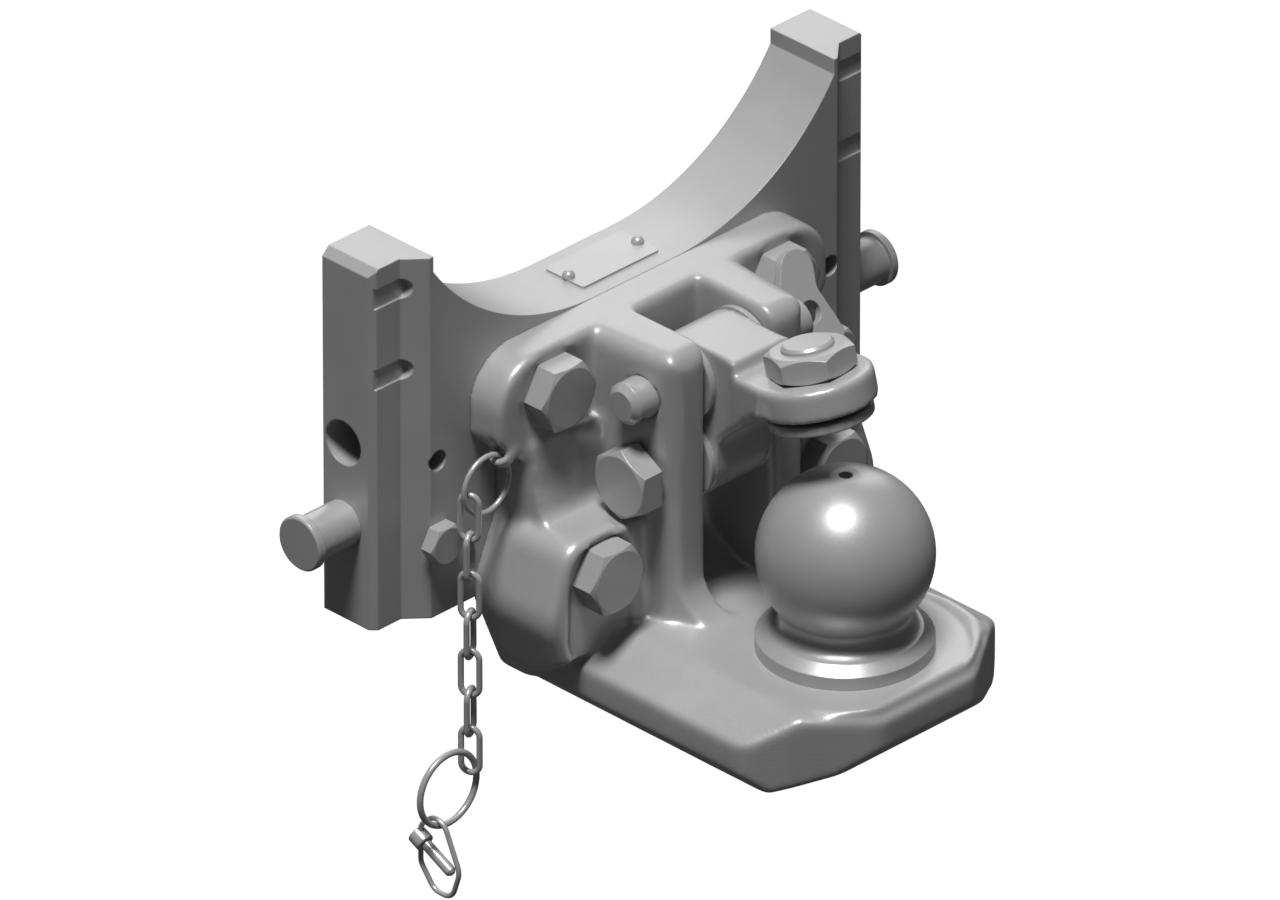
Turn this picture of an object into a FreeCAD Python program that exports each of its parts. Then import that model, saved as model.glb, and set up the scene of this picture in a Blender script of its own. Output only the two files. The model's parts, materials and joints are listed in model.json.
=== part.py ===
import FreeCAD, Part
import math
import os
from FreeCAD import Vector

# Tractor ball hitch on a ladder-frame carrier plate. Millimetres, +Z up.
# The origin is the centre of the ball, +Y runs back to the tractor and +X to its right-hand side.

# Running and assembly clearances, on the radius or between faces
RUNNING_FIT = 0.05
SEAT_GAP = 0.02
LOCK_PLAY = 0.6

# Carrier plate
PLATE_HALF_WIDTH = 154.0
PLATE_BACK = 171.1
PLATE_THICKNESS = 40.0
PLATE_BOTTOM = -35.2
PLATE_TOP = 147.5
STRIP_WIDTH = 17.0
STRIP_THICKNESS = 31.0
STRIP_CHAMFER = 10.0
PLATE_EDGE_BREAK = 4.0
SADDLE_Z = 87.0
SADDLE_FLAT = 25.0
SADDLE_RADIUS = 121.0
HORN_WIDTH = 29.0
SIDE_BORE_RADIUS = 11.0
SIDE_BORE_Y = 158.6
SIDE_BORE_DEPTH = 42.0
OPEN_BORE_Z = 54.0
PINNED_BORE_Z = 13.5
SLOT_WIDTH = 10.0
SLOT_LENGTH = 21.6
SLOT_DEPTH = 1.2
SLOT_LEVELS = (132.6, 91.8)
SCREW_THREAD_RADIUS = 5.1
SCREW_HOLE_INSET = 31.4
OPEN_SCREW_HOLE_Z = 43.3
RETAINER_INSET = 31.0
RETAINER_Z = 2.8
RETAINER_FLATS = 18.0
RETAINER_HEAD = 7.0
SCREW_HOLE_DEPTH = 34.0

# Side pins
PIN_PROUD = 27.6
PIN_HEAD_RADIUS = 13.0
PIN_HEAD = 4.0
PIN_GROOVE_DEPTH = 5.6
PIN_INSERTED = 40.0

# Type plate
TAG_HALF_LENGTH = 24.0
TAG_FRONT = 139.4
TAG_BACK = 163.7
TAG_THICKNESS = 1.0
RIVET_X = 21.6
RIVET_Y = 151.0
RIVET_HEAD_RADIUS = 3.0
RIVET_SHANK_RADIUS = 1.4
RIVET_SHANK = 7.0

# Cast body
FLANGE_FRONT = 112.0
FLANGE_TOP = 87.2
LOBE_HALF_WIDTH = 103.0
LOBE_RADIUS = 24.5
WAIST_INSET = 16.0
RIM_FILLET = 3.0
PAD_RECESS = 1.2
PAD_RECESS_RADIUS = 20.0
EAR_GAP = 40.3
EAR_NOSE = 65.4
EAR_OUTER = 42.0
EAR_ROOT = 47.5
EAR_TOP_ROUND = 8.0
HOOD_FRONT = 80.0
HOOD_TOP = 6.0
PLATFORM_TOP = -47.3
PLATFORM_BOTTOM = -86.0
PLATFORM_HALF_WIDTH = 80.0
PLATFORM_NOSE = -52.0
WING_START = 58.2
WING_SLOPE = 32.0
DISC_RADIUS = 60.0
LUG_INSET = 6.5
LUG_Z = 41.9
LUG_Y = 117.0
LUG_RADIUS = 6.5
LUG_LENGTH = 6.0
LUG_HOLE_RADIUS = 3.0

# Mounting bolts, M20
BOLT_RADIUS = 10.0
BOLT_FLATS = 30.0
BOLT_HEAD = 12.5
BOLT_CLEARANCE = 1.0
BOLT_END = 166.0
UPPER_BOLT = (70.0, 66.0)
LOWER_BOLT = (70.2, -14.7)
LOWER_SEAT = 82.7

# Ball
BALL_RADIUS = 40.0
BALL_FLAT_RADIUS = 6.85
BALL_CENTRE_HOLE_RADIUS = 3.15
BALL_CENTRE_HOLE_DEPTH = 6.0
NECK_RADIUS = 29.5
COLLAR_RADIUS = 40.0
COLLAR_BEVEL_RADIUS = 34.8
COLLAR_EDGE_Z = -41.0
COLLAR_TOP_Z = -37.0
SHANK_RADIUS = 20.0
THREAD_RADIUS = 15.0
THREAD_LENGTH = 17.0
NUT_FLATS = 46.0
NUT_HEIGHT = 13.0
NUT_POCKET_RADIUS = 29.0
NUT_POCKET_DEPTH = 18.0

# Hold-down
PIVOT_Y = 83.6
PIVOT_Z = 23.1
LOCK_Z = 63.1
ARM_HALF_WIDTH = 16.5
ARM_TOP = 81.5
PIVOT_LUG_RADIUS = 20.0
BUSH_FLANGE_RADIUS = 19.8
BUSH_RADIUS = 13.0
BUSH_FLANGE = 3.3
BUSH_LENGTH = 12.0
LOCK_RADIUS = 10.0
LOCK_LEFT_END = 56.4
LOCK_RIGHT_END = 54.0
LOCK_CHAMFER = 3.0
LINCH_HOLE_RADIUS = 3.2
LINCH_HOLE_X = -50.5
EYE_TILT = 15.0
EYE_TOP_Y = 20.6
EYE_TOP_Z = 83.4
EYE_RADIUS = 27.0
EYE_HEIGHT = 15.0
EYE_EDGE = 2.5
SPINDLE_RADIUS = 12.0
SPINDLE_PROUD = 2.5
SPINDLE_GAP = 2.4
PAD_RADIUS = 24.0
PAD_THICKNESS = 4.8
LOCK_NUT_FLATS = 36.0
LOCK_NUT_HEIGHT = 12.0
PIVOT_NUT_HEIGHT = 16.0
PIVOT_WASHER_RADIUS = 18.5
PIVOT_WASHER = 3.0
SPOT_FACE_RADIUS = 19.5

# Handle plate on the lock pin
HANDLE_THICKNESS = 4.0
HANDLE_TILT = 30.0
HANDLE_X = 60.0
HANDLE_HOLE_RADIUS = 5.5
HANDLE_SLOT = 7.0

# Chain
CHAIN_SHARE = 0.76
CHAIN_Y = 117.0
WIRE_RING_RADIUS = 14.0
WIRE_RING_WIRE = 1.25
WIRE_RING_HANG = 49.0
RING_PLAY = 0.3
LINK_COUNT = 7
LINK_WIRE = 1.4
LINK_WIDTH = 11.5
LINK_PITCH = 19.8
LINK_PLAY = 0.1
ODD_LINK_TURN = -65.0
FIRST_LINK_SEAT = 3.4
ROUND_RING_RADIUS = 17.5
ROUND_RING_WIRE = 1.5
ROUND_RING_LEAN = 52.0
ROUND_RING_SEAT = 6.4
BOW_WIRE = 1.2
BOW_SWING = 23.0
BOW_SEAT = 0.55
BOW_HEIGHT = 37.0
LINCH_RADIUS = 2.6
LINCH_HEAD_RADIUS = 4.5
LINCH_HEAD = 7.0
LINCH_EYE_RADIUS = 1.5

STRIP_INNER = PLATE_HALF_WIDTH - STRIP_WIDTH
HORN_INNER = PLATE_HALF_WIDTH - HORN_WIDTH
SCREW_HOLE_X = PLATE_HALF_WIDTH - SCREW_HOLE_INSET
RETAINER_X = PLATE_HALF_WIDTH - RETAINER_INSET
WAIST_HALF_WIDTH = LOBE_HALF_WIDTH - WAIST_INSET
LUG_X = LOBE_HALF_WIDTH - LUG_INSET

# The wire ring's centre lies down and to the left of the lug, clear of the open screw hole.
# The first link hangs on the ring's left side, CHAIN_SHARE of the ring's radius from its centre.
RING_OUTWARD = (math.cos(math.radians(WIRE_RING_HANG)), math.sin(math.radians(WIRE_RING_HANG)))
RING_BOW_IN_LUG = LUG_LENGTH ** 2 / (8 * WIRE_RING_RADIUS)
RING_REACH = WIRE_RING_RADIUS + LUG_HOLE_RADIUS - WIRE_RING_WIRE - RING_PLAY - RING_BOW_IN_LUG
WIRE_RING_X = -LUG_X - RING_REACH * RING_OUTWARD[0]
WIRE_RING_Z = LUG_Z - RING_REACH * RING_OUTWARD[1]
CHAIN_X = WIRE_RING_X - CHAIN_SHARE * WIRE_RING_RADIUS
RING_WIRE_DROP = math.sqrt(WIRE_RING_RADIUS ** 2 - (CHAIN_X - WIRE_RING_X) ** 2)
FIRST_LINK_Z = WIRE_RING_Z - RING_WIRE_DROP - FIRST_LINK_SEAT

PLATE_FRONT = PLATE_BACK - PLATE_THICKNESS
STRIP_FRONT = PLATE_BACK - STRIP_THICKNESS
PAD_SEAT = FLANGE_FRONT + PAD_RECESS
EAR_INNER = EAR_GAP / 2
X_AXIS = Vector(1, 0, 0)
Y_AXIS = Vector(0, 1, 0)
Z_AXIS = Vector(0, 0, 1)
ORIGIN = Vector(0, 0, 0)
EYE_AXIS = Vector(0, math.sin(math.radians(EYE_TILT)), math.cos(math.radians(EYE_TILT)))
EYE_TOP = Vector(0, EYE_TOP_Y, EYE_TOP_Z)


def rounded_wire(corners, place):
    """Close an outline of (a, b, radius) corners with tangent arcs, put in space by place(a, b)."""
    spans = []
    count = len(corners)
    for index, (a, b, radius) in enumerate(corners):
        corner = Vector(a, b, 0)
        before = Vector(*corners[index - 1][:2], 0) - corner
        after = Vector(*corners[(index + 1) % count][:2], 0) - corner
        before.normalize()
        after.normalize()
        half = before.getAngle(after) / 2
        if radius == 0:
            spans.append((corner, None, corner))
            continue
        reach = radius / math.tan(half)
        bisector = before + after
        bisector.normalize()
        middle = corner + bisector * (radius / math.sin(half) - radius)
        spans.append((corner + before * reach, middle, corner + after * reach))
    edges = []
    for index, (start, middle, end) in enumerate(spans):
        here = place(end.x, end.y)
        if middle is not None:
            edges.append(Part.Arc(place(start.x, start.y), place(middle.x, middle.y), here).toShape())
        onward = spans[(index + 1) % count][0]
        there = place(onward.x, onward.y)
        if here.distanceToPoint(there) > 1e-6:
            edges.append(Part.LineSegment(here, there).toShape())
    return Part.Wire(edges)


def slab(axis, corners, start, end):
    """Extrude a rounded outline along X, Y or Z from start to end."""
    place = {
        "X": lambda a, b: Vector(start, a, b),
        "Y": lambda a, b: Vector(a, start, b),
        "Z": lambda a, b: Vector(a, b, start),
    }[axis]
    along = {"X": X_AXIS, "Y": Y_AXIS, "Z": Z_AXIS}[axis]
    return Part.Face(rounded_wire(corners, place)).extrude(along * (end - start))


def box(low, high):
    size = high - low
    return Part.makeBox(size.x, size.y, size.z, low)


def rod(radius, start, end):
    axis = end - start
    return Part.makeCylinder(radius, axis.Length, start, axis)


def mirrored(shape):
    return shape.mirror(ORIGIN, X_AXIS)


def both_sides(shape):
    return [shape, mirrored(shape)]


def hexagon(flats, height, seat, axis, flat_normal, chamfer_both=False):
    """A hexagon head or nut standing on seat along axis, with its free end chamfered."""
    direction = Vector(axis)
    direction.normalize()
    corner_radius = flats / math.sqrt(3)
    points = []
    for step in range(7):
        turn = FreeCAD.Rotation(direction, 30 + 60 * step)
        points.append(seat + turn.multVec(flat_normal) * corner_radius)
    head = Part.Face(Part.makePolygon(points)).extrude(direction * height)
    face_radius = 0.475 * flats
    spread = height / math.tan(math.radians(30))
    head = head.common(Part.makeCone(face_radius + spread, face_radius, height, seat, direction))
    if chamfer_both:
        head = head.common(Part.makeCone(face_radius, face_radius + spread, height, seat, direction))
    return head


def edges_where(shape, test):
    """Pick the edges whose points all pass the test."""
    picked = []
    for edge in shape.Edges:
        points = edge.discretize(5)
        if all(test(point) for point in points):
            picked.append(edge)
    return picked


def bent_rod(path, radius):
    """Sweep a round wire along a closed path."""
    first = path.Edges[0]
    start = first.valueAt(first.FirstParameter)
    tangent = first.tangentAt(first.FirstParameter)
    profile = Part.Wire(Part.makeCircle(radius, start, tangent))
    return path.makePipeShell([profile], True, False)


def horn_outline():
    """Front view of the carrier plate: a rectangle with the saddle cut in its top."""
    centre_z = SADDLE_Z + SADDLE_RADIUS
    lip = centre_z - math.sqrt(SADDLE_RADIUS ** 2 - (HORN_INNER - SADDLE_FLAT) ** 2)
    middle_x = SADDLE_FLAT + SADDLE_RADIUS * math.sin(math.radians(28))
    middle_z = centre_z - SADDLE_RADIUS * math.cos(math.radians(28))
    left = [Vector(-HORN_INNER, 0, lip), Vector(-middle_x, 0, middle_z), Vector(-SADDLE_FLAT, 0, SADDLE_Z)]
    right = [Vector(SADDLE_FLAT, 0, SADDLE_Z), Vector(middle_x, 0, middle_z), Vector(HORN_INNER, 0, lip)]
    half = PLATE_HALF_WIDTH
    lines = [
        Vector(HORN_INNER, 0, lip), Vector(HORN_INNER, 0, PLATE_TOP), Vector(half, 0, PLATE_TOP),
        Vector(half, 0, PLATE_BOTTOM), Vector(-half, 0, PLATE_BOTTOM), Vector(-half, 0, PLATE_TOP),
        Vector(-HORN_INNER, 0, PLATE_TOP), Vector(-HORN_INNER, 0, lip),
    ]
    edges = [Part.Arc(*left).toShape(), Part.LineSegment(left[2], right[0]).toShape()]
    edges.append(Part.Arc(*right).toShape())
    for start, end in zip(lines, lines[1:]):
        edges.append(Part.LineSegment(start, end).toShape())
    return Part.Wire(edges)


def carrier_plate():
    front_view = Part.Face(horn_outline()).extrude(Y_AXIS * 300)
    half = PLATE_HALF_WIDTH
    chamfer_end = STRIP_INNER - STRIP_CHAMFER
    plan = [
        (half - 3, STRIP_FRONT, 0), (STRIP_INNER, STRIP_FRONT, 0), (chamfer_end, PLATE_FRONT, 0),
        (-chamfer_end, PLATE_FRONT, 0), (-STRIP_INNER, STRIP_FRONT, 0), (3 - half, STRIP_FRONT, 0),
        (-half, STRIP_FRONT + 3, 0), (-half, PLATE_BACK, 0), (half, PLATE_BACK, 0),
        (half, STRIP_FRONT + 3, 0),
    ]
    plate = slab("Z", plan, PLATE_BOTTOM, PLATE_TOP).common(front_view)
    tools = []
    for side in (-1, 1):
        tools.append(top_edge_break(side))
        for level in (OPEN_BORE_Z, PINNED_BORE_Z):
            mouth = Vector(side * (half + 1), SIDE_BORE_Y, level)
            tools.append(rod(SIDE_BORE_RADIUS, mouth, mouth - X_AXIS * (side * (SIDE_BORE_DEPTH + 1))))
        for level in SLOT_LEVELS:
            tools.append(edge_slot(side, level))
        tools.append(front_hole(side * SCREW_HOLE_X, OPEN_SCREW_HOLE_Z, SCREW_THREAD_RADIUS, SCREW_HOLE_DEPTH))
        tools.append(front_hole(side * RETAINER_X, RETAINER_Z, SCREW_THREAD_RADIUS, SCREW_HOLE_DEPTH))
        for x, z in (UPPER_BOLT, LOWER_BOLT):
            tools.append(front_hole(side * x, z, BOLT_RADIUS + SEAT_GAP, BOLT_END - PLATE_FRONT + 1))
        rivet_base = Vector(side * RIVET_X, RIVET_Y, SADDLE_Z + 1)
        tools.append(rod(RIVET_SHANK_RADIUS + SEAT_GAP, rivet_base, rivet_base - Z_AXIS * (RIVET_SHANK + 2)))
    return plate.cut(Part.makeCompound(tools))


def top_edge_break(side):
    """The bevel along the outer top edge of a horn."""
    edge = side * PLATE_HALF_WIDTH
    inward = -side * PLATE_EDGE_BREAK
    corners = [(edge + side, PLATE_TOP + 1, 0), (edge + inward, PLATE_TOP + 1, 0),
               (edge + inward, PLATE_TOP, 0), (edge, PLATE_TOP - PLATE_EDGE_BREAK, 0),
               (edge + side, PLATE_TOP - PLATE_EDGE_BREAK, 0)]
    return slab("Y", corners, STRIP_FRONT - 20, PLATE_BACK + 1)


def edge_slot(side, level):
    """A shallow milled groove from the side of the strip to a round end."""
    half = SLOT_WIDTH / 2
    outer = PLATE_HALF_WIDTH + 2
    inner = PLATE_HALF_WIDTH - SLOT_LENGTH
    corners = [(side * outer, level - half, 0), (side * outer, level + half, 0),
               (side * inner, level + half, half - 0.001), (side * inner, level - half, half - 0.001)]
    return slab("Y", corners, PLATE_FRONT - 1, STRIP_FRONT + SLOT_DEPTH)


def front_hole(x, z, radius, depth):
    return rod(radius, Vector(x, PLATE_FRONT - 1, z), Vector(x, PLATE_FRONT + depth, z))


def side_pin(side):
    """A round locking pin with a head, grooved where its retaining screw passes."""
    inner = side * (PLATE_HALF_WIDTH - PIN_INSERTED)
    outer = side * (PLATE_HALF_WIDTH + PIN_PROUD)
    neck = outer - side * PIN_HEAD
    centre = Vector(0, SIDE_BORE_Y, PINNED_BORE_Z)
    shaft = rod(SIDE_BORE_RADIUS - RUNNING_FIT, centre + X_AXIS * inner, centre + X_AXIS * neck)
    head = rod(PIN_HEAD_RADIUS, centre + X_AXIS * neck, centre + X_AXIS * outer)
    head = head.makeChamfer(0.8, edges_where(head, lambda p: abs(p.x - outer) < 1e-3))
    pin = shaft.fuse(head)
    groove_floor = Part.makeCylinder(SIDE_BORE_RADIUS - PIN_GROOVE_DEPTH, 14, ORIGIN, X_AXIS)
    groove = Part.makeCylinder(SIDE_BORE_RADIUS + 1, 14, ORIGIN, X_AXIS).cut(groove_floor)
    groove.translate(Vector(side * RETAINER_X - 7, SIDE_BORE_Y, PINNED_BORE_Z))
    return pin.cut(groove)


def retaining_screws():
    screws = []
    for side in (-1, 1):
        seat = Vector(side * RETAINER_X, PLATE_FRONT - SEAT_GAP, RETAINER_Z)
        head = hexagon(RETAINER_FLATS, RETAINER_HEAD, seat, -Y_AXIS, Z_AXIS)
        shank = rod(SCREW_THREAD_RADIUS - SEAT_GAP, seat, seat + Y_AXIS * (SCREW_HOLE_DEPTH - 1))
        screws.append(head.fuse(shank))
    return Part.makeCompound(screws)


def type_plate():
    half = TAG_HALF_LENGTH
    top = SADDLE_Z + SEAT_GAP
    corners = [(-half, TAG_FRONT, 2), (half, TAG_FRONT, 2), (half, TAG_BACK, 2), (-half, TAG_BACK, 2)]
    tag = slab("Z", corners, top, top + TAG_THICKNESS)
    holes = []
    for side in (-1, 1):
        base = Vector(side * RIVET_X, RIVET_Y, SADDLE_Z - 1)
        holes.append(rod(RIVET_SHANK_RADIUS + SEAT_GAP, base, base + Z_AXIS * 6))
    return tag.cut(Part.makeCompound(holes))


def type_plate_rivets():
    rivets = []
    for side in (-1, 1):
        seat = Vector(side * RIVET_X, RIVET_Y, SADDLE_Z + TAG_THICKNESS + 2 * SEAT_GAP)
        dome = Part.makeSphere(RIVET_HEAD_RADIUS, seat, Z_AXIS, 0, 90, 360)
        shank = rod(RIVET_SHANK_RADIUS, seat, seat - Z_AXIS * RIVET_SHANK)
        rivets.append(dome.fuse(shank))
    return Part.makeCompound(rivets)


def flange():
    half = LOBE_HALF_WIDTH
    right = [
        (half, FLANGE_TOP, LOBE_RADIUS), (half, 49, 7), (WAIST_HALF_WIDTH, 33, 10),
        (WAIST_HALF_WIDTH, 6, 12), (half, -31, 25), (half - 19, -78, 10),
    ]
    left = [(-x, z, radius) for x, z, radius in reversed(right)]
    plate = slab("Y", right + left, FLANGE_FRONT, PLATE_FRONT - SEAT_GAP)
    rim = edges_where(plate, lambda p: abs(p.y - FLANGE_FRONT) < 1e-3)
    return plate.makeFillet(RIM_FILLET, rim)


def ear():
    """The right-hand ear, tapered in plan with broad rounds on its top and nose."""
    root_y = PLATE_FRONT - 6

    def section(outer, y):
        corners = [(EAR_INNER, -60, 0), (EAR_INNER, FLANGE_TOP, 1.5), (outer, FLANGE_TOP, EAR_TOP_ROUND),
                   (outer, -60, 0)]
        return rounded_wire(corners, lambda a, b: Vector(a, y, b))

    blank = Part.makeLoft([section(EAR_OUTER, EAR_NOSE), section(EAR_ROOT, root_y)], True, True)
    side_view = slab("X", [(root_y, -60, 0), (root_y, FLANGE_TOP + 1, 0), (EAR_NOSE, FLANGE_TOP, 10),
                           (EAR_NOSE, -60, 0)], 0, 80)
    plan = slab("Z", [(EAR_INNER, root_y, 0), (EAR_INNER, EAR_NOSE, 5), (EAR_OUTER, EAR_NOSE, 8),
                      (EAR_ROOT, root_y, 0)], -61, 90)
    return plan.common(side_view).common(blank)


def ear_foot():
    """The web that flares forward from the nose of an ear on to the platform."""
    sweep = EAR_NOSE - 25
    floor = PLATFORM_TOP - 6
    corners = [(EAR_NOSE + 30, 5, 0), (EAR_NOSE + 0.5, 5, 0), (EAR_NOSE + 0.5, PLATFORM_TOP - 1.5, 24),
               (sweep - 9, PLATFORM_TOP - 1.5, 0), (sweep - 9, floor, 0), (EAR_NOSE + 30, floor, 0)]
    web = slab("X", corners, EAR_INNER - 8, EAR_OUTER - 1)
    plan = slab("Z", [(EAR_INNER + 1, 100, 0), (EAR_INNER + 1, EAR_NOSE, 10), (13, 44, 2), (31, 44, 4),
                      (EAR_OUTER - 1, 74, 16), (EAR_OUTER - 1, 100, 0)], -60, 10)
    return web.common(plan)


def rear_web():
    """The wall between the ears with its large sweep down into the platform."""
    corners = [(PLATE_FRONT - 6, FLANGE_TOP, 0), (FLANGE_FRONT + 0.5, FLANGE_TOP, 10),
               (FLANGE_FRONT + 0.5, PLATFORM_TOP, 38), (50, PLATFORM_TOP, 0), (50, -70, 0),
               (PLATE_FRONT - 6, -70, 0)]
    return slab("X", corners, -EAR_INNER - 1, EAR_INNER + 1)


def hood():
    """The right-hand boss round a lower mounting bolt, hollowed in front for its head."""
    back = PLATE_FRONT - 6
    wide = LOBE_HALF_WIDTH
    front_view = [(34, HOOD_TOP, 0), (wide - 12, HOOD_TOP, 14), (wide + 0.5, -31, 25), (wide - 10, -66, 10),
                  (60, -80, 0), (34, -80, 0)]
    block = slab("Y", front_view, HOOD_FRONT, back)
    rim = edges_where(block, lambda p: abs(p.y - HOOD_FRONT) < 1e-3 and p.z > -62 and p.x > 40)
    block = block.makeFillet(5, rim)
    side_view = slab("X", [(back, 20, 0), (50, 20, 0), (50, -52, 0), (HOOD_FRONT, -52, 0), (back, -80, 0)], 0, 120)
    pocket_view = [(52, 2.5, 15), (90, 2.5, 15), (92, -60, 19), (53, -60, 8)]
    pocket = slab("Y", pocket_view, 50, LOWER_SEAT)
    return block.common(side_view).cut(pocket)


def slant_web():
    """The slanting rib from the outside of the ear to the waist of the flange, above the hood."""
    plan = [(40, 104, 0), (60, 106, 10), (WAIST_HALF_WIDTH - 1, 118, 6), (WAIST_HALF_WIDTH - 1, 125, 0), (40, 125, 0)]
    web = slab("Z", plan, -10, 46)
    shelf_sweep = [(125, 0, 0), (90, 0, 0), (92, HOOD_TOP, 0), (104, HOOD_TOP, 8), (108, 22, 0), (110, 46, 4), (125, 46, 0)]
    return web.common(slab("X", [(125, -10, 0), (100, -10, 0), (100, 40, 0), (108, 46, 0), (125, 46, 0)], 0, 120)).fuse(
        slab("X", shelf_sweep, 44, WAIST_HALF_WIDTH - 2))


def platform():
    half = PLATFORM_HALF_WIDTH
    drop = (half + 4 - WING_START) * math.tan(math.radians(WING_SLOPE))
    edge_z = PLATFORM_TOP - drop
    plan = [(30, PLATFORM_NOSE, 16), (64, -29, 16), (half, -15, 14), (half, 120, 0), (-half, 120, 0),
            (-half, -15, 14), (-64, -29, 16), (-30, PLATFORM_NOSE, 16)]
    front_view = [(WING_START, PLATFORM_TOP, 14), (half + 4, edge_z, 0), (half + 4, -74, 0), (half, -76, 0),
                  (70, PLATFORM_BOTTOM, 6), (-70, PLATFORM_BOTTOM, 6), (-half, -76, 0), (-half - 4, -74, 0),
                  (-half - 4, edge_z, 0), (-WING_START, PLATFORM_TOP, 14)]
    side_view = [(126, PLATFORM_TOP, 0), (-26, PLATFORM_TOP, 20), (-58, PLATFORM_TOP - 7, 0), (-58, -66, 0),
                 (PLATFORM_NOSE, -68, 0), (-40, -79, 6), (-20, PLATFORM_BOTTOM, 6), (126, PLATFORM_BOTTOM + 4, 0)]
    block = slab("Z", plan, -95, -40).common(slab("Y", front_view, -60, 127)).common(slab("X", side_view, -90, 90))
    return block


def rim_disc():
    """The raised round land under the ball, cut by the outline of the platform."""
    land = Part.makeCylinder(DISC_RADIUS, 14, Vector(0, 0, PLATFORM_TOP - 14))
    top = edges_where(land, lambda p: abs(p.z - PLATFORM_TOP) < 1e-3)
    land = land.makeFillet(3, top)
    plan = [(30, PLATFORM_NOSE + 3, 16), (62, -28, 14), (62, 70, 0), (-62, 70, 0), (-62, -28, 14),
            (-30, PLATFORM_NOSE + 3, 16)]
    return land.common(slab("Z", plan, -70, -40))


def chain_lug():
    """The eye at the lower end of the left lobe, in which the wire ring hangs."""
    across = wire_ring_tangent()
    centre = Vector(-LUG_X, LUG_Y, LUG_Z)
    start = centre - across * (LUG_LENGTH / 2)
    return rod(LUG_RADIUS, start, start + across * LUG_LENGTH)


def wire_ring_tangent():
    return Vector(RING_OUTWARD[1], 0, -RING_OUTWARD[0])


def body_cuts():
    tools = []
    for side in (-1, 1):
        for x, z in (UPPER_BOLT, LOWER_BOLT):
            tools.append(rod(BOLT_RADIUS + BOLT_CLEARANCE, Vector(side * x, 60, z), Vector(side * x, 140, z)))
        x, z = UPPER_BOLT
        tools.append(rod(PAD_RECESS_RADIUS, Vector(side * x, 90, z), Vector(side * x, PAD_SEAT, z)))
        low_x, low_z = LOWER_BOLT
        tools.append(rod(BOLT_FLATS * 0.6, Vector(side * low_x, 50, low_z), Vector(side * low_x, LOWER_SEAT, low_z)))
    reach = X_AXIS * 60
    pivot = Vector(0, PIVOT_Y, PIVOT_Z)
    lock = Vector(0, PIVOT_Y, LOCK_Z)
    tools.append(rod(BOLT_RADIUS + SEAT_GAP, pivot - reach, pivot + reach))
    face = X_AXIS * ear_outer_face()
    tools.append(rod(SPOT_FACE_RADIUS, pivot + face, pivot + reach))
    tools.append(rod(SPOT_FACE_RADIUS, pivot - face, pivot - reach))
    tools.append(rod(LOCK_RADIUS + RUNNING_FIT, lock - reach, lock + reach))
    tools.append(rod(SHANK_RADIUS + SEAT_GAP, Vector(0, 0, PLATFORM_TOP + 5), Vector(0, 0, PLATFORM_BOTTOM - 5)))
    underside = Vector(0, 0, PLATFORM_BOTTOM - 5)
    tools.append(rod(NUT_POCKET_RADIUS, underside, Vector(0, 0, PLATFORM_BOTTOM + NUT_POCKET_DEPTH)))
    return Part.makeCompound(tools)


def hitch_body():
    pieces = [flange(), rear_web(), platform(), rim_disc()]
    for half_piece in (ear(), ear_foot(), hood(), slant_web()):
        pieces += both_sides(half_piece)
    pieces.append(chain_lug())
    body = pieces[0].multiFuse(pieces[1:])
    hole = wire_ring_tangent() * 12
    centre = Vector(-LUG_X, LUG_Y, LUG_Z)
    body = body.cut(rod(LUG_HOLE_RADIUS, centre - hole, centre + hole))
    return body.cut(body_cuts()).removeSplitter()


def mounting_bolt(x, z, seat_y):
    seat = Vector(x, seat_y - SEAT_GAP, z)
    head = hexagon(BOLT_FLATS, BOLT_HEAD, seat, -Y_AXIS, Z_AXIS)
    shank = rod(BOLT_RADIUS, seat, Vector(x, BOLT_END, z))
    return head.fuse(shank)


def mounting_bolts(place, seat_y):
    x, z = place
    return Part.makeCompound([mounting_bolt(side * x, z, seat_y) for side in (-1, 1)])


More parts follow.
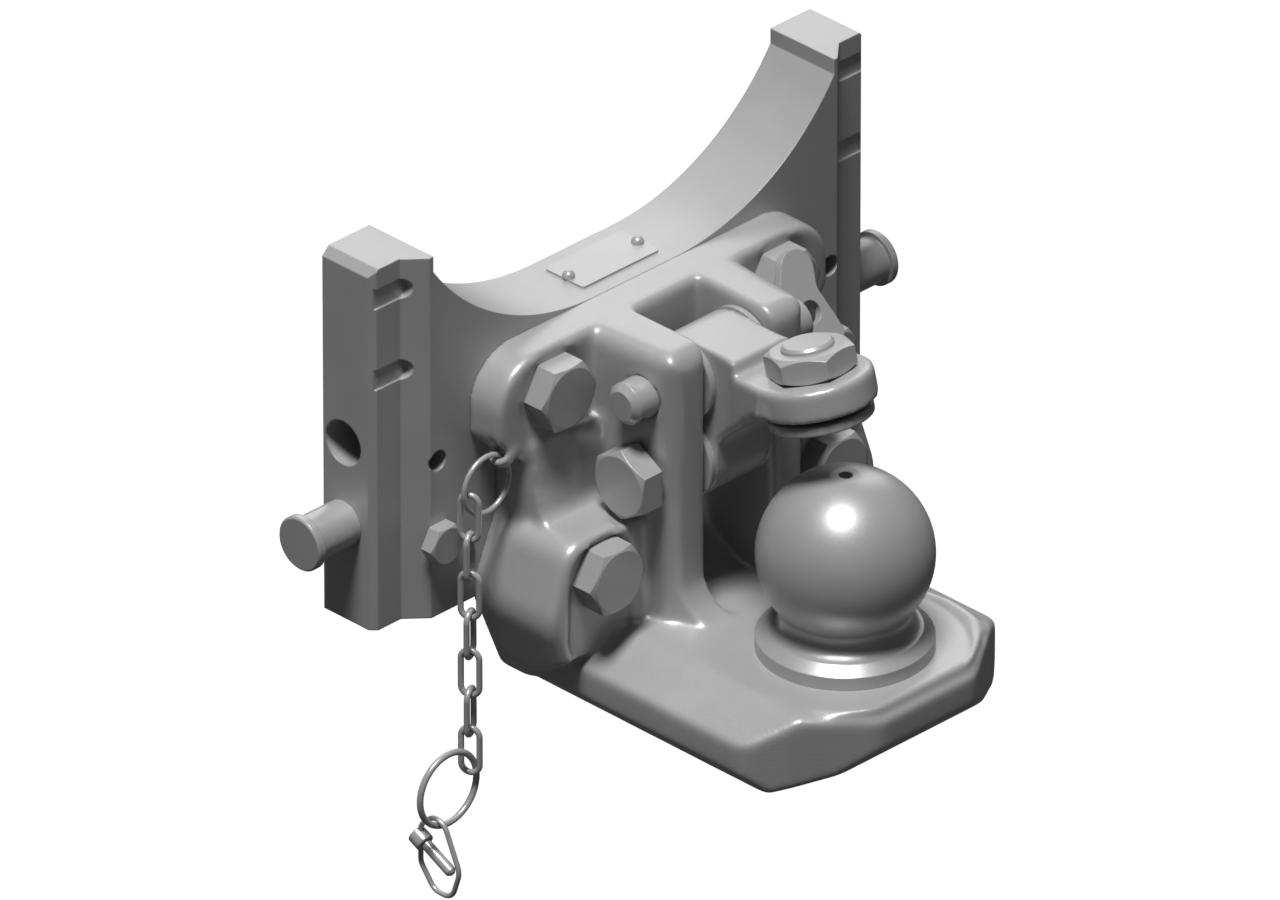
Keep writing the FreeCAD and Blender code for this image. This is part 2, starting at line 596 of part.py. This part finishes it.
def coupling_ball():
    """Ball, waisted neck, collar and threaded shank as one turned piece."""
    flat_z = math.sqrt(BALL_RADIUS ** 2 - BALL_FLAT_RADIUS ** 2)
    joint_z = -math.sqrt(BALL_RADIUS ** 2 - NECK_RADIUS ** 2)
    shoulder = PLATFORM_BOTTOM + NUT_POCKET_DEPTH + 2
    end = shoulder - 2 - THREAD_LENGTH
    seat = PLATFORM_TOP + SEAT_GAP
    neck_mid = Vector(NECK_RADIUS - 1.2, 0, (joint_z + COLLAR_TOP_Z) / 2 - 1.5)

    def point(radius, z):
        return Vector(radius, 0, z)

    edges = [
        Part.LineSegment(point(0, flat_z), point(BALL_FLAT_RADIUS, flat_z)).toShape(),
        Part.Arc(point(BALL_FLAT_RADIUS, flat_z), point(BALL_RADIUS, 0), point(NECK_RADIUS, joint_z)).toShape(),
        Part.Arc(point(NECK_RADIUS, joint_z), neck_mid + X_AXIS * 1.6, point(COLLAR_BEVEL_RADIUS, COLLAR_TOP_Z)).toShape(),
    ]
    turned = [point(COLLAR_BEVEL_RADIUS, COLLAR_TOP_Z), point(COLLAR_RADIUS, COLLAR_EDGE_Z), point(COLLAR_RADIUS, seat),
              point(SHANK_RADIUS, seat), point(SHANK_RADIUS, shoulder), point(THREAD_RADIUS, shoulder),
              point(THREAD_RADIUS, end + 1.5), point(THREAD_RADIUS - 1.5, end), point(0, end), point(0, flat_z)]
    for start, stop in zip(turned, turned[1:]):
        edges.append(Part.LineSegment(start, stop).toShape())
    solid = Part.Face(Part.Wire(edges)).revolve(ORIGIN, Z_AXIS, 360)
    drill = rod(BALL_CENTRE_HOLE_RADIUS, Vector(0, 0, flat_z - BALL_CENTRE_HOLE_DEPTH), Vector(0, 0, flat_z + 1))
    return solid.cut(drill)


def ball_nut():
    seat = Vector(0, 0, PLATFORM_BOTTOM + NUT_POCKET_DEPTH - SEAT_GAP)
    nut = hexagon(NUT_FLATS, NUT_HEIGHT, seat, -Z_AXIS, Y_AXIS, True)
    return nut.cut(rod(THREAD_RADIUS + SEAT_GAP, seat + Z_AXIS, seat - Z_AXIS * (NUT_HEIGHT + 1)))


def eye_point(depth):
    """A point on the tilted screw axis, measured down from the top of the eye."""
    return EYE_TOP - EYE_AXIS * depth


def hold_down_arm():
    back = PIVOT_Y
    lock_round = ARM_TOP - LOCK_Z
    eye_floor = eye_point(EYE_HEIGHT)
    side_view = [(back + PIVOT_LUG_RADIUS, PIVOT_Z - PIVOT_LUG_RADIUS, PIVOT_LUG_RADIUS - 0.1),
                 (back + PIVOT_LUG_RADIUS, ARM_TOP, lock_round), (46, ARM_TOP, 8), (EYE_TOP_Y, ARM_TOP + 6, 0),
                 (eye_floor.y, eye_floor.z, 0), (36, eye_floor.z - 6, 12),
                 (back - PIVOT_LUG_RADIUS, PIVOT_Z + 14, 10),
                 (back - PIVOT_LUG_RADIUS, PIVOT_Z - PIVOT_LUG_RADIUS, PIVOT_LUG_RADIUS - 0.1)]
    plan = [(-ARM_HALF_WIDTH, 110, 0), (-ARM_HALF_WIDTH, 57, 20), (-EYE_RADIUS + 0.5, 28, 0), (-EYE_RADIUS + 8, 12, 0),
            (EYE_RADIUS - 8, 12, 0), (EYE_RADIUS - 0.5, 28, 0), (ARM_HALF_WIDTH, 57, 20), (ARM_HALF_WIDTH, 110, 0)]
    beam = slab("X", side_view, -EYE_RADIUS, EYE_RADIUS).common(slab("Z", plan, -10, 120))
    above = rod(60, EYE_TOP, EYE_TOP + EYE_AXIS * 40)
    below_eye = rod(EYE_RADIUS + 4, eye_floor, eye_point(EYE_HEIGHT + 30))
    eye = rod(EYE_RADIUS, eye_floor, EYE_TOP)
    eye = eye.makeFillet(EYE_EDGE, edges_where(eye, lambda p: abs((p - EYE_TOP).dot(EYE_AXIS)) < 1e-3))
    front_of_pivot = box(Vector(-60, -60, 0), Vector(60, 52, 130))
    arm = beam.cut(above.common(front_of_pivot)).cut(below_eye).fuse(eye)
    cuts = [rod(SPINDLE_RADIUS + RUNNING_FIT, eye_point(EYE_HEIGHT + 5), EYE_TOP + EYE_AXIS * 5)]
    for z in (PIVOT_Z, LOCK_Z):
        centre = Vector(0, PIVOT_Y, z)
        cuts.append(rod(BUSH_RADIUS, centre - X_AXIS * 40, centre + X_AXIS * 40))
    return arm.cut(Part.makeCompound(cuts)).removeSplitter()


def bushes(z, bore):
    """Two flanged bushes, one from each side of the arm."""
    seat = Vector(ARM_HALF_WIDTH + SEAT_GAP, PIVOT_Y, z)
    collar = rod(BUSH_FLANGE_RADIUS, seat, seat + X_AXIS * BUSH_FLANGE)
    collar = collar.makeFillet(1, edges_where(collar, lambda p: abs(p.x - seat.x - BUSH_FLANGE) < 1e-3))
    sleeve = rod(BUSH_RADIUS - SEAT_GAP, seat + X_AXIS, seat - X_AXIS * BUSH_LENGTH)
    bush = collar.fuse(sleeve).cut(rod(bore, seat + X_AXIS * 10, seat - X_AXIS * 30))
    return Part.makeCompound(both_sides(bush))


def pivot_bolt():
    seat = Vector(-ear_outer_face() - SEAT_GAP, PIVOT_Y, PIVOT_Z)
    head = hexagon(BOLT_FLATS, BOLT_HEAD, seat, -X_AXIS, Y_AXIS)
    end = Vector(ear_outer_face() + PIVOT_WASHER + PIVOT_NUT_HEIGHT + 4, PIVOT_Y, PIVOT_Z)
    return head.fuse(rod(BOLT_RADIUS, seat, end))


def ear_outer_face():
    """Half the width over the spot faces of the ears at the pivot."""
    return EAR_OUTER + (EAR_ROOT - EAR_OUTER) * (PIVOT_Y + 18 - EAR_NOSE) / (PLATE_FRONT - 6 - EAR_NOSE)


def pivot_washer():
    seat = Vector(ear_outer_face() + SEAT_GAP, PIVOT_Y, PIVOT_Z)
    washer = rod(PIVOT_WASHER_RADIUS, seat, seat + X_AXIS * PIVOT_WASHER)
    return washer.cut(rod(BOLT_RADIUS + SEAT_GAP, seat - X_AXIS, seat + X_AXIS * 10))


def pivot_nut():
    seat = Vector(ear_outer_face() + PIVOT_WASHER + 2 * SEAT_GAP, PIVOT_Y, PIVOT_Z)
    nut = hexagon(BOLT_FLATS, PIVOT_NUT_HEIGHT, seat, X_AXIS, Y_AXIS, True)
    return nut.cut(rod(BOLT_RADIUS + SEAT_GAP, seat - X_AXIS, seat + X_AXIS * 30))


def lock_pin():
    axis = Vector(0, PIVOT_Y, LOCK_Z)
    pin = rod(LOCK_RADIUS, axis - X_AXIS * LOCK_LEFT_END, axis + X_AXIS * LOCK_RIGHT_END)
    pin = pin.makeChamfer(LOCK_CHAMFER, edges_where(pin, lambda p: abs(p.x + LOCK_LEFT_END) < 1e-3))
    across = (Y_AXIS + Z_AXIS) * 15
    cross = Vector(LINCH_HOLE_X, PIVOT_Y, LOCK_Z)
    pin = pin.cut(rod(LINCH_HOLE_RADIUS, cross - across, cross + across))
    return pin.cut(handle_blank(HANDLE_THICKNESS + 2 * SEAT_GAP, SEAT_GAP))


def handle_blank(thickness, grow):
    """The outline of the handle plate, in the plane through the pin's axis that leans back."""
    low_left = LOCK_RIGHT_END - HANDLE_SLOT - HANDLE_X - grow
    lean = FreeCAD.Rotation(X_AXIS, 90 - HANDLE_TILT)
    centre = Vector(HANDLE_X, PIVOT_Y, LOCK_Z)

    def place(a, b):
        return centre + lean.multVec(Vector(a, b, -thickness / 2))

    corners = [(low_left, -17, 4), (16, -17, 4), (14, -8, 8), (9, 9, 8), (14.2, 29, 8.8), (-3, 29, 8.8),
               (low_left, 12, 6)]
    return Part.Face(rounded_wire(corners, place)).extrude(lean.multVec(Z_AXIS) * thickness)


def lock_pin_handle():
    plate = handle_blank(HANDLE_THICKNESS, 0)
    lean = FreeCAD.Rotation(X_AXIS, 90 - HANDLE_TILT)
    normal = lean.multVec(Z_AXIS) * 10
    hole = Vector(HANDLE_X + 1, PIVOT_Y, LOCK_Z)
    return plate.cut(rod(HANDLE_HOLE_RADIUS, hole - normal, hole + normal))


def hold_down_screw():
    pad_top = eye_point(EYE_HEIGHT + SPINDLE_GAP)
    pad_floor = eye_point(EYE_HEIGHT + SPINDLE_GAP + PAD_THICKNESS)
    top = EYE_TOP + EYE_AXIS * (LOCK_NUT_HEIGHT + SPINDLE_PROUD)
    pad = rod(PAD_RADIUS, pad_floor, pad_top)
    pad = pad.makeFillet(1.2, [edge for edge in pad.Edges if edge.Length > 100 and len(edge.Vertexes) == 1])
    stem = rod(SPINDLE_RADIUS, pad_floor + EYE_AXIS, top)
    stem = stem.makeChamfer(1.3, edges_where(stem, lambda p: abs((p - top).dot(EYE_AXIS)) < 1e-3))
    return pad.fuse(stem)


def hold_down_lock_nut():
    seat = EYE_TOP + EYE_AXIS * SEAT_GAP
    nut = hexagon(LOCK_NUT_FLATS, LOCK_NUT_HEIGHT, seat, EYE_AXIS, turned_flat(), True)
    bore = rod(SPINDLE_RADIUS + RUNNING_FIT, seat - EYE_AXIS, seat + EYE_AXIS * 30)
    return nut.cut(bore)


def turned_flat():
    """The direction that one flat of the lock nut faces."""
    return FreeCAD.Rotation(EYE_AXIS, -22).multVec(X_AXIS)


def wire_ring():
    centre = Vector(WIRE_RING_X, CHAIN_Y, WIRE_RING_Z)
    return Part.makeTorus(WIRE_RING_RADIUS, WIRE_RING_WIRE, centre, Y_AXIS)


def link_turn(number):
    """Odd links face forward and to the left, even links stand square to them."""
    return ODD_LINK_TURN if number % 2 else ODD_LINK_TURN + 90


def chain_link(number):
    centre_z = FIRST_LINK_Z - LINK_PITCH * (number - 1)
    half_width = LINK_WIDTH / 2 - LINK_WIRE
    half_height = LINK_PITCH / 2 + LINK_WIRE + LINK_PLAY
    turn = FreeCAD.Rotation(Z_AXIS, link_turn(number))
    centre = Vector(CHAIN_X, CHAIN_Y, centre_z)

    def place(a, b):
        return centre + turn.multVec(Vector(a, 0, b))

    bend = half_width - 0.01
    corners = [(half_width, -half_height, bend), (half_width, half_height, bend),
               (-half_width, half_height, bend), (-half_width, -half_height, bend)]
    return bent_rod(rounded_wire(corners, place), LINK_WIRE)


def ring_centre():
    lean = math.radians(ROUND_RING_LEAN)
    link_floor = FIRST_LINK_Z - LINK_PITCH * (LINK_COUNT - 0.5)
    grip_z = link_floor + ROUND_RING_SEAT
    return Vector(CHAIN_X - ROUND_RING_RADIUS * math.sin(lean), CHAIN_Y, grip_z - ROUND_RING_RADIUS * math.cos(lean))


def chain_ring():
    return Part.makeTorus(ROUND_RING_RADIUS, ROUND_RING_WIRE, ring_centre(), Y_AXIS)


def bow_grip():
    """The point low on the round ring where the bow of the linch pin hangs."""
    turn = math.radians(BOW_SWING)
    drop = Vector(-math.sin(turn), 0, -math.cos(turn)) * ROUND_RING_RADIUS
    return ring_centre() + drop + Z_AXIS * (ROUND_RING_WIRE + BOW_WIRE + BOW_SEAT)


def bow_place(a, b):
    return bow_grip() + Vector(0, a, b)


def linch_axis():
    """Head centre and tip direction of the linch pin, across the bow."""
    head = bow_place(10.5, -14)
    tip = bow_place(-9.5, -24)
    return head, tip


def linch_pin_bow():
    corners = [(3, 0, 7), (-4, 0, 7), (-14, -22, 9), (-9, -BOW_HEIGHT, 7), (2, -BOW_HEIGHT, 7), (10.5, -26, 6),
               (10.5, -7, 6)]
    return bent_rod(rounded_wire(corners, bow_place), BOW_WIRE)


def linch_pin():
    head, tip = linch_axis()
    along = tip - head
    along.normalize()
    pin = rod(LINCH_RADIUS, head, tip)
    pin = pin.makeChamfer(1.2, edges_where(pin, lambda p: abs((p - tip).dot(along)) < 1e-3))
    start = head - along * (LINCH_HEAD / 2)
    knob = rod(LINCH_HEAD_RADIUS, start, start + along * LINCH_HEAD)
    knob = knob.makeFillet(0.8, [edge for edge in knob.Edges if len(edge.Vertexes) == 1])
    eye = rod(LINCH_EYE_RADIUS, head - Z_AXIS * 12, head + Z_AXIS * 12)
    return knob.fuse(pin).cut(eye)


NODES = {
    "carrier_plate": carrier_plate,
    "side_pin_left": lambda: side_pin(-1),
    "side_pin_right": lambda: side_pin(1),
    "side_pin_screws": retaining_screws,
    "type_plate": type_plate,
    "type_plate_rivets": type_plate_rivets,
    "hitch_body": hitch_body,
    "upper_mount_bolts": lambda: mounting_bolts(UPPER_BOLT, PAD_SEAT),
    "lower_mount_bolts": lambda: mounting_bolts(LOWER_BOLT, LOWER_SEAT),
    "coupling_ball": coupling_ball,
    "ball_nut": ball_nut,
    "hold_down_arm": hold_down_arm,
    "pivot_bushes": lambda: bushes(PIVOT_Z, BOLT_RADIUS + RUNNING_FIT),
    "lock_bushes": lambda: bushes(LOCK_Z, LOCK_RADIUS + LOCK_PLAY),
    "pivot_bolt": pivot_bolt,
    "pivot_washer": pivot_washer,
    "pivot_nut": pivot_nut,
    "lock_pin": lock_pin,
    "lock_pin_handle": lock_pin_handle,
    "hold_down_screw": hold_down_screw,
    "hold_down_lock_nut": hold_down_lock_nut,
    "chain_wire_ring": wire_ring,
    "chain_ring": chain_ring,
    "linch_pin": linch_pin,
    "linch_pin_bow": linch_pin_bow,
}
for link_number in range(1, LINK_COUNT + 1):
    NODES["chain_link_" + str(link_number)] = lambda number=link_number: chain_link(number)

os.makedirs("parts", exist_ok=True)
for node_name, make_shape in NODES.items():
    shape = make_shape()
    shape.exportStep("parts/" + node_name + ".step")
    print(node_name, "solids", len(shape.Solids), "valid", shape.isValid(), "volume", round(shape.Volume))
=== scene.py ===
import json
import math
from typing import NamedTuple

import bpy
import numpy as np
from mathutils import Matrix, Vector
from mathutils.bvhtree import BVHTree


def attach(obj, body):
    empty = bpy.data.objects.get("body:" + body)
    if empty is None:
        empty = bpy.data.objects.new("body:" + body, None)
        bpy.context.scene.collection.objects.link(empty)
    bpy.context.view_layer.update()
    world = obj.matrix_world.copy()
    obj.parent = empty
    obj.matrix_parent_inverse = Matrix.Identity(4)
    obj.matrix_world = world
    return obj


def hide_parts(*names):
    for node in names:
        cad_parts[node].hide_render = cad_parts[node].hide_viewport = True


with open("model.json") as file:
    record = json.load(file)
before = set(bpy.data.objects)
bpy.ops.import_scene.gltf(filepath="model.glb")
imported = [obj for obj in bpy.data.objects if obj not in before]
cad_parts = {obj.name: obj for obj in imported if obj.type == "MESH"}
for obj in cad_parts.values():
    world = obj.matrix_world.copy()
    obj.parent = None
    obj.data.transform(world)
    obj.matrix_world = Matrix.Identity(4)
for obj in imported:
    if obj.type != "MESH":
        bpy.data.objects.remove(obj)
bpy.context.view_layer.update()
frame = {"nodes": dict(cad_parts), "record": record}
nodes = frame["nodes"]

# Camera: a long lens from the front left. Lengths are in metres, and the ball's centre is the origin.
LENS_MM = 900.0
SENSOR_MM = 36.0
VIEW_WIDTH = 0.5639
VIEW_RIGHT = -0.0905
VIEW_UP = 0.0452
CAMERA_AZIMUTH = math.radians(-45)
CAMERA_ELEVATION = math.radians(30)
CLIP_END = 200.0

# Light and floor
SUN_FROM = Vector((-0.25, -0.12, 0.96))
SUN_STRENGTH = 3.75
SUN_ANGLE = math.radians(16)
FILL_FROM = Vector((0.62, 0.62, 0.48))
FILL_STRENGTH = 0.9
FILL_ANGLE = math.radians(50)
SKY_STRENGTH = 0.07
FLOOR_Z = -0.62
FLOOR_HALF = 12.0
FLOOR_GREY = 0.77
FLOOR_ROUGHNESS = 0.9

# Noise in the metals: a slow one for the shade, and a fine one, scaled by each finish, for gloss and relief
SLOW_SCALE = 28.0
SLOW_DETAIL = 3.0
FINE_DETAIL = 4.0
NOISE_LOW = 0.3
NOISE_HIGH = 0.7
SHADE_LOW = 0.955
SHADE_HIGH = 1.035
GLOSS_BELOW = 0.05
GLOSS_ABOVE = 0.06
RELIEF_DEPTH = 0.0003

# Edges lightened by wear and a painted highlight: the mask runs from 0 to full as the rounded normal turns
# away from the true one
EDGE_SAMPLES = 4
EDGE_START = 0.995
EDGE_FULL = 0.80

# Castings: the mesh is rebuilt finely, then its edges and inner corners are rounded by smoothing passes.
# Near a neighbour the casting keeps its CAD shape: a point within GUARD_NEAR of one stays in place,
# and a point past GUARD_FAR moves freely.
VOXEL = 0.0011
BODY_PASSES = 13
ARM_PASSES = 8
SMOOTHING = 0.6
GUARD_NEAR = 0.0012
GUARD_FAR = 0.0050

# Low curved ridge on the platform round the front and right of the ball
PLATFORM_TOP = -0.0473
TOP_BAND = 2 * VOXEL
RIDGE_RADIUS = 0.0600
RIDGE_HALF_WIDTH = 0.0060
RIDGE_HEIGHT = 0.0021
RIDGE_MIDDLE = math.radians(-62)
RIDGE_HALF_SPAN = math.radians(82)
RIDGE_FADE = 0.3 * RIDGE_HALF_SPAN


class Finish(NamedTuple):
    """The look of one material slot."""

    grey: float  # base colour, linear
    roughness: float
    metallic: float
    grain: float  # scale of the fine noise
    bump: float  # strength of the relief
    edge_wear_and_highlight: float  # grey added along edges and inner corners: edge wear and a painted highlight
    edge: float  # width of the lightened edges, worn and with a painted highlight


FINISHES = {
    "plate_steel": Finish(0.42, 0.40, 0.20, 900.0, 0.10, 0.05, 0.0010),
    "body_casting": Finish(0.42, 0.36, 0.22, 700.0, 0.20, 0.04, 0.0012),
    "arm_casting": Finish(0.42, 0.36, 0.22, 700.0, 0.20, 0.04, 0.0012),
    "ball_steel": Finish(0.44, 0.36, 0.35, 1400.0, 0.03, 0.05, 0.0008),
    "turned_steel": Finish(0.42, 0.34, 0.25, 1400.0, 0.06, 0.06, 0.0006),
    "bolt_steel": Finish(0.41, 0.34, 0.20, 1200.0, 0.08, 0.06, 0.0006),
    "bush_steel": Finish(0.42, 0.34, 0.25, 1400.0, 0.06, 0.06, 0.0006),
    "handle_steel": Finish(0.42, 0.36, 0.20, 1000.0, 0.10, 0.06, 0.0006),
    "tag_aluminium": Finish(0.44, 0.34, 0.30, 1400.0, 0.05, 0.05, 0.0003),
    "chain_steel": Finish(0.46, 0.30, 0.30, 1600.0, 0.05, 0.05, 0.0003),
}


def link(tree, out_node, out_name, in_node, in_name):
    tree.links.new(out_node.outputs[out_name], in_node.inputs[in_name])


def new_material(name):
    material = bpy.data.materials.new(name)
    material.use_nodes = True
    tree = material.node_tree
    return material, tree, tree.nodes["Principled BSDF"]


def noise(tree, coords, scale, detail):
    node = tree.nodes.new("ShaderNodeTexNoise")
    node.inputs["Scale"].default_value = scale
    node.inputs["Detail"].default_value = detail
    link(tree, coords, "Object", node, "Vector")
    return node


def spread(tree, source, low, high):
    """Map a noise to the range from low to high."""
    node = tree.nodes.new("ShaderNodeMapRange")
    node.inputs["From Min"].default_value = NOISE_LOW
    node.inputs["From Max"].default_value = NOISE_HIGH
    node.inputs["To Min"].default_value = low
    node.inputs["To Max"].default_value = high
    link(tree, source, "Fac", node, "Value")
    return node


def wear_and_highlight_edges(tree, width, gain):
    """The rounded normal, and a mask along outer and inner edges where it leaves the true one: it places
    edge wear and a painted highlight.
    """
    bevel = tree.nodes.new("ShaderNodeBevel")
    bevel.samples = EDGE_SAMPLES
    bevel.inputs["Radius"].default_value = width
    geometry = tree.nodes.new("ShaderNodeNewGeometry")
    dot = tree.nodes.new("ShaderNodeVectorMath")
    dot.operation = "DOT_PRODUCT"
    tree.links.new(bevel.outputs["Normal"], dot.inputs[0])
    tree.links.new(geometry.outputs["Normal"], dot.inputs[1])
    # mask of edge wear and painted highlight, lighter along outer edges and inner corners
    wear_highlight_mask = tree.nodes.new("ShaderNodeMapRange")
    wear_highlight_mask.inputs["From Min"].default_value = EDGE_START
    wear_highlight_mask.inputs["From Max"].default_value = EDGE_FULL
    wear_highlight_mask.inputs["To Max"].default_value = gain
    tree.links.new(dot.outputs["Value"], wear_highlight_mask.inputs["Value"])
    return bevel, wear_highlight_mask


def grey_with_wear_and_highlight(tree, shade, wear_highlight_mask):
    """The slow shade with the edge mask of wear and painted highlight added, as a grey colour."""
    # painted highlight and edge wear: the edge mask lightens the base colour
    brighten = tree.nodes.new("ShaderNodeMath")
    brighten.operation = "ADD"
    tree.links.new(shade.outputs["Result"], brighten.inputs[0])
    tree.links.new(wear_highlight_mask.outputs["Result"], brighten.inputs[1])
    colour = tree.nodes.new("ShaderNodeCombineColor")
    for channel in ("Red", "Green", "Blue"):
        tree.links.new(brighten.outputs["Value"], colour.inputs[channel])
    return colour


def relief_of(tree, fine, bevel, strength):
    """Fine relief on top of the rounded normal."""
    relief = tree.nodes.new("ShaderNodeBump")
    relief.inputs["Strength"].default_value = strength
    relief.inputs["Distance"].default_value = RELIEF_DEPTH
    link(tree, fine, "Fac", relief, "Height")
    link(tree, bevel, "Normal", relief, "Normal")
    return relief


def metal(name, finish):
    """A grey metal with fine grain, slow changes of shade and gloss, and edges and inner corners lightened
    by wear and a painted highlight.
    """
    material, tree, shader = new_material(name)
    coords = tree.nodes.new("ShaderNodeTexCoord")
    slow = noise(tree, coords, SLOW_SCALE, SLOW_DETAIL)
    fine = noise(tree, coords, finish.grain, FINE_DETAIL)
    shade = spread(tree, slow, finish.grey * SHADE_LOW, finish.grey * SHADE_HIGH)
    # edges and inner corners painted lighter: edge wear with a painted highlight
    bevel, wear_highlight_mask = wear_and_highlight_edges(tree, finish.edge, finish.edge_wear_and_highlight)
    link(tree, grey_with_wear_and_highlight(tree, shade, wear_highlight_mask), "Color", shader, "Base Color")
    gloss = spread(tree, fine, finish.roughness - GLOSS_BELOW, finish.roughness + GLOSS_ABOVE)
    link(tree, gloss, "Result", shader, "Roughness")
    link(tree, relief_of(tree, fine, bevel, finish.bump), "Normal", shader, "Normal")
    shader.inputs["Metallic"].default_value = finish.metallic
    return material


MATERIALS = {slot: metal(slot, finish) for slot, finish in FINISHES.items()}


def dress_nodes():
    """Give every CAD node the material of its slot."""
    slot_of = {entry["node"]: entry["material_slot"] for entry in frame["record"]["subparts"]}
    for name, thing in nodes.items():
        for place in thing.material_slots:
            place.material = MATERIALS[slot_of[name]]


def neighbour_tree(own_node):
    """One search tree over the meshes of all other CAD nodes."""
    points = []
    faces = []
    for name, thing in nodes.items():
        if name == own_node:
            continue
        start = len(points)
        points += [tuple(vertex.co) for vertex in thing.data.vertices]
        faces += [[start + index for index in polygon.vertices] for polygon in thing.data.polygons]
    return BVHTree.FromPolygons(points, faces)


def freedom(places, tree):
    """How far each point may move: 0 beside a neighbour, 1 in the open."""
    free = np.empty(len(places))
    for index, place in enumerate(places):
        distance = tree.find_nearest(Vector(place), GUARD_FAR)[3]
        free[index] = 1.0 if distance is None else (distance - GUARD_NEAR) / (GUARD_FAR - GUARD_NEAR)
    return np.clip(free, 0.0, 1.0)


def smoothed(places, edges, free, passes):
    """Move each point part of the way to the mean of its neighbours, passes times over."""
    count = len(places)
    ends = np.concatenate([edges[:, 0], edges[:, 1]])
    others = np.concatenate([edges[:, 1], edges[:, 0]])
    valence = np.bincount(ends, minlength=count)
    step = (SMOOTHING * free)[:, None]
    for _ in range(passes):
        sums = [np.bincount(ends, places[others, axis], count) for axis in range(3)]
        mean = np.stack(sums, axis=1) / valence[:, None]
        places = places + (mean - places) * step
    return places


def raise_ridge(places):
    """Lift the platform's top along an arc round the ball, fading out at the arc's ends."""
    radius = np.hypot(places[:, 0], places[:, 1])
    bearing = np.arctan2(places[:, 1], places[:, 0]) - RIDGE_MIDDLE
    bearing = (bearing + math.pi) % (2 * math.pi) - math.pi
    across = np.clip(1 - ((radius - RIDGE_RADIUS) / RIDGE_HALF_WIDTH) ** 2, 0, 1) ** 2
    along = np.clip((RIDGE_HALF_SPAN - np.abs(bearing)) / RIDGE_FADE, 0, 1)
    on_top = np.abs(places[:, 2] - PLATFORM_TOP) < TOP_BAND
    places[:, 2] += RIDGE_HEIGHT * across * along * on_top


def fine_mesh(node):
    """The mesh of a CAD node, rebuilt with even small faces."""
    scratch = bpy.data.objects.new(node + "_scratch", nodes[node].data.copy())
    bpy.context.collection.objects.link(scratch)
    remesh = scratch.modifiers.new("remesh", "REMESH")
    remesh.mode = "VOXEL"
    remesh.voxel_size = VOXEL
    shape = bpy.data.meshes.new_from_object(scratch.evaluated_get(bpy.context.evaluated_depsgraph_get()))
    bpy.data.objects.remove(scratch)
    return shape


def points_and_edges(shape):
    places = np.empty(len(shape.vertices) * 3)
    shape.vertices.foreach_get("co", places)
    edges = np.empty(len(shape.edges) * 2, dtype=np.int32)
    shape.edges.foreach_get("vertices", edges)
    return places.reshape(-1, 3), edges.reshape(-1, 2)


def rounded_casting(node, body, slot, passes, detail=None):
    """Replace a CAD casting by one with the same shape and rounded edges and inner corners."""
    shape = fine_mesh(node)
    places, edges = points_and_edges(shape)
    free = freedom(places, neighbour_tree(node))
    places = smoothed(places, edges, free, passes)
    if detail:
        detail(places)
    shape.vertices.foreach_set("co", places.ravel())
    shape.shade_smooth()
    shape.materials.clear()
    shape.materials.append(MATERIALS[slot])
    casting = bpy.data.objects.new(node + "_casting", shape)
    bpy.context.collection.objects.link(casting)
    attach(casting, body)
    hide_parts(node)


def view_axes():
    """The camera's right, up and back directions."""
    right = Vector((math.cos(CAMERA_AZIMUTH), math.sin(CAMERA_AZIMUTH), 0.0))
    level_back = Vector((math.sin(CAMERA_AZIMUTH), -math.cos(CAMERA_AZIMUTH), 0.0))
    back = level_back * math.cos(CAMERA_ELEVATION) + Vector((0.0, 0.0, math.sin(CAMERA_ELEVATION)))
    return right, back.cross(right), back


def add_camera():
    right, up, back = view_axes()
    data = bpy.data.cameras.new("camera")
    data.lens = LENS_MM
    data.sensor_width = SENSOR_MM
    data.clip_end = CLIP_END
    camera = bpy.data.objects.new("camera", data)
    target = right * VIEW_RIGHT + up * VIEW_UP
    camera.location = target + back * (VIEW_WIDTH * LENS_MM / SENSOR_MM)
    camera.rotation_euler = back.to_track_quat("Z", "Y").to_euler()
    bpy.context.collection.objects.link(camera)
    bpy.context.scene.camera = camera


def add_sun(name, from_direction, strength, angle):
    data = bpy.data.lights.new(name, "SUN")
    data.energy = strength
    data.angle = angle
    sun = bpy.data.objects.new(name, data)
    sun.rotation_euler = from_direction.to_track_quat("Z", "Y").to_euler()
    bpy.context.collection.objects.link(sun)


def add_light():
    add_sun("sun", SUN_FROM, SUN_STRENGTH, SUN_ANGLE)
    add_sun("fill", FILL_FROM, FILL_STRENGTH, FILL_ANGLE)
    world = bpy.data.worlds.new("sky")
    world.use_nodes = True
    background = world.node_tree.nodes["Background"]
    background.inputs["Color"].default_value = (1, 1, 1, 1)
    background.inputs["Strength"].default_value = SKY_STRENGTH
    bpy.context.scene.world = world
    bpy.context.scene.view_settings.view_transform = "Standard"


def add_floor():
    """A plain pale floor. It takes the object's shadow and throws no light back on it."""
    mesh = bpy.data.meshes.new("floor")
    corners = [(x * FLOOR_HALF, y * FLOOR_HALF, FLOOR_Z) for x, y in ((-1, -1), (1, -1), (1, 1), (-1, 1))]
    mesh.from_pydata(corners, [], [(0, 1, 2, 3)])
    floor = bpy.data.objects.new("floor", mesh)
    material, _, shader = new_material("floor")
    shader.inputs["Base Color"].default_value = (FLOOR_GREY, FLOOR_GREY, FLOOR_GREY, 1)
    shader.inputs["Roughness"].default_value = FLOOR_ROUGHNESS
    mesh.materials.append(material)
    bpy.context.collection.objects.link(floor)
    floor.visible_diffuse = False
    floor.visible_glossy = False


add_camera()
add_light()
add_floor()
dress_nodes()
rounded_casting("hitch_body", "mount_frame", "body_casting", BODY_PASSES, raise_ridge)
rounded_casting("hold_down_arm", "hold_down", "arm_casting", ARM_PASSES)
